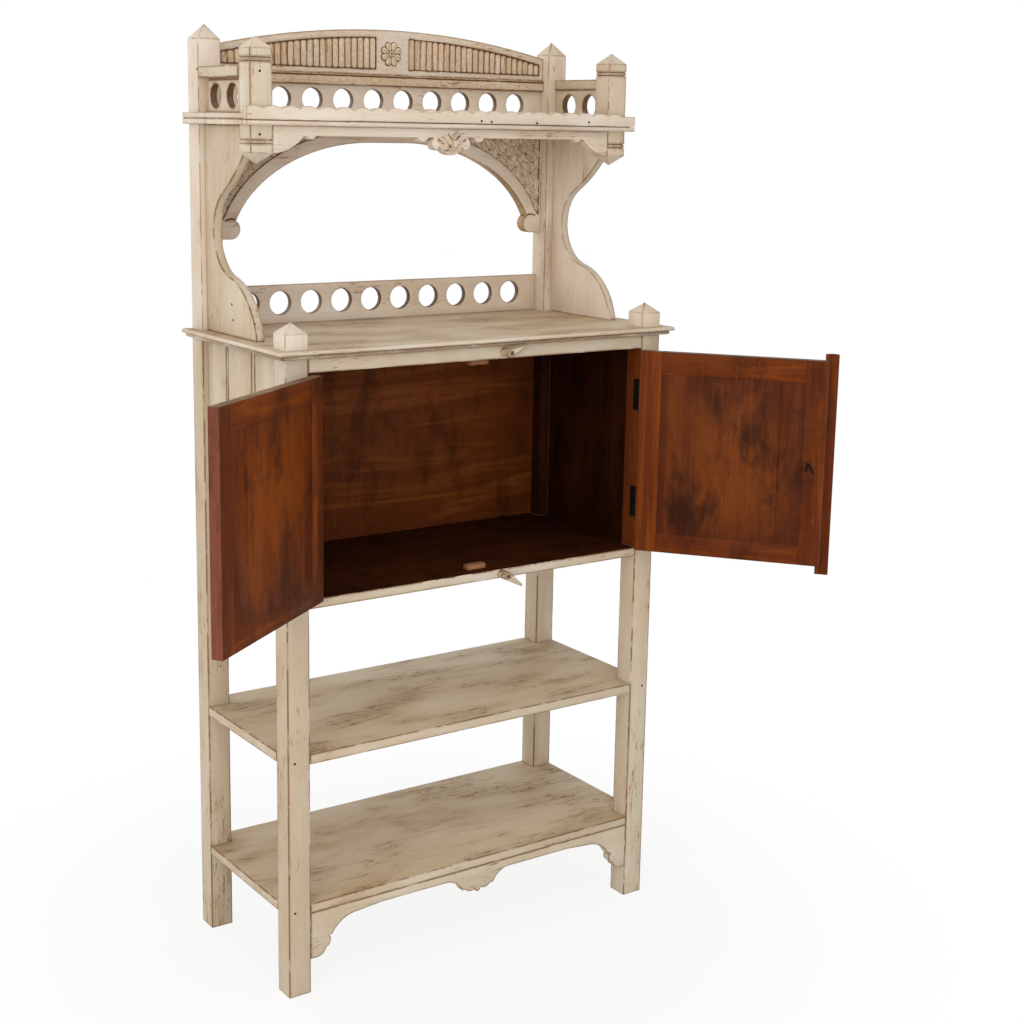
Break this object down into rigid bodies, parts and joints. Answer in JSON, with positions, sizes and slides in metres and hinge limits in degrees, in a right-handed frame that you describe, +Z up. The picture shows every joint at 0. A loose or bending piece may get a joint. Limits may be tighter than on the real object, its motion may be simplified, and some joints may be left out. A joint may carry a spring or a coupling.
{
  "type": "sideboard",
  "caption": "Tall painted wooden sideboard: an open stand with shelves, a cabinet with hinged doors and turn buttons, and a hutch with pierced galleries under an arched crest.",
  "frame": {"origin": "on the floor, at the centre of the footprint of the four posts", "axes": "+X to the right along the front, -Y towards the viewer in front of the doors, +Z up along the posts"},
  "size_m": [1.2232, 0.6608, 1.6995],
  "materials": {
    "cream_paint": "matt cream paint rubbed through to brown wood on the arrises",
    "stained_wood": "satin reddish-brown stained wood",
    "dark_wood": "satin dark stained wood",
    "raw_wood": "matt light brown wood",
    "black_iron": "dull black iron"
  },
  "bodies": {
    "carcass": {"front_left_post": "cream_paint", "front_right_post": "cream_paint", "rear_left_post": "cream_paint", "rear_right_post": "cream_paint", "bottom_shelf": "cream_paint", "front_apron": "cream_paint", "middle_shelf": "cream_paint", "cabinet_floor": "dark_wood", "front_top_rail": "cream_paint", "cabinet_back": "stained_wood", "left_side_boards": "cream_paint", "right_side_boards": "cream_paint", "tabletop": "cream_paint", "front_table_moulding": "cream_paint", "left_table_moulding": "cream_paint", "right_table_moulding": "cream_paint", "left_side_panel": "cream_paint", "right_side_panel": "cream_paint", "lower_gallery": "cream_paint", "rear_arch": "cream_paint", "canopy": "cream_paint", "fringe": "cream_paint", "fringe_bead": "cream_paint", "valance": "cream_paint", "valance_leaf": "cream_paint", "left_drop_post": "cream_paint", "right_drop_post": "cream_paint", "left_side_gallery": "cream_paint", "right_side_gallery": "cream_paint", "left_gallery_cap": "cream_paint", "right_gallery_cap": "cream_paint", "upper_gallery": "cream_paint", "cap_strip": "cream_paint", "crest": "cream_paint", "rosette": "cream_paint", "left_post_leaves": "black_iron", "left_hinge_pins": "black_iron", "right_post_leaves": "black_iron", "right_hinge_pins": "black_iron", "top_stop": "raw_wood", "bottom_stop": "raw_wood", "top_pivot": "cream_paint", "bottom_pivot": "cream_paint"},
    "left_door": {"left_hinge_stile": "stained_wood", "left_lock_stile": "stained_wood", "left_door_top_rail": "stained_wood", "left_door_bottom_rail": "stained_wood", "left_door_panel": "stained_wood", "left_door_leaves": "black_iron"},
    "right_door": {"right_hinge_stile": "stained_wood", "right_lock_stile": "stained_wood", "right_door_top_rail": "stained_wood", "right_door_bottom_rail": "stained_wood", "right_door_panel": "stained_wood", "right_door_leaves": "black_iron", "astragal": "stained_wood", "door_knob": "black_iron"},
    "top_turn_button": {"top_button": "cream_paint"},
    "bottom_turn_button": {"bottom_button": "cream_paint"}
  },
  "joints": [
    {"name": "left_door_hinge", "type": "hinge", "parent": "carcass", "child": "left_door", "pos_m": [-0.3555, -0.1856, 0.921], "axis": [0, 0, 1], "range_deg": [-34, 144]},
    {"name": "right_door_hinge", "type": "hinge", "parent": "carcass", "child": "right_door", "pos_m": [0.3555, -0.1856, 0.921], "axis": [0, 0, 1], "range_deg": [-128, 50]},
    {"name": "top_button_pivot", "type": "hinge", "parent": "carcass", "child": "top_turn_button", "pos_m": [0.039, -0.1998, 1.1301], "axis": [0, 1, 0], "range_deg": [0, 220]},
    {"name": "bottom_button_pivot", "type": "hinge", "parent": "carcass", "child": "bottom_turn_button", "pos_m": [0.041, -0.1998, 0.71875], "axis": [0, 1, 0], "range_deg": [-180, 180]}
  ]
}
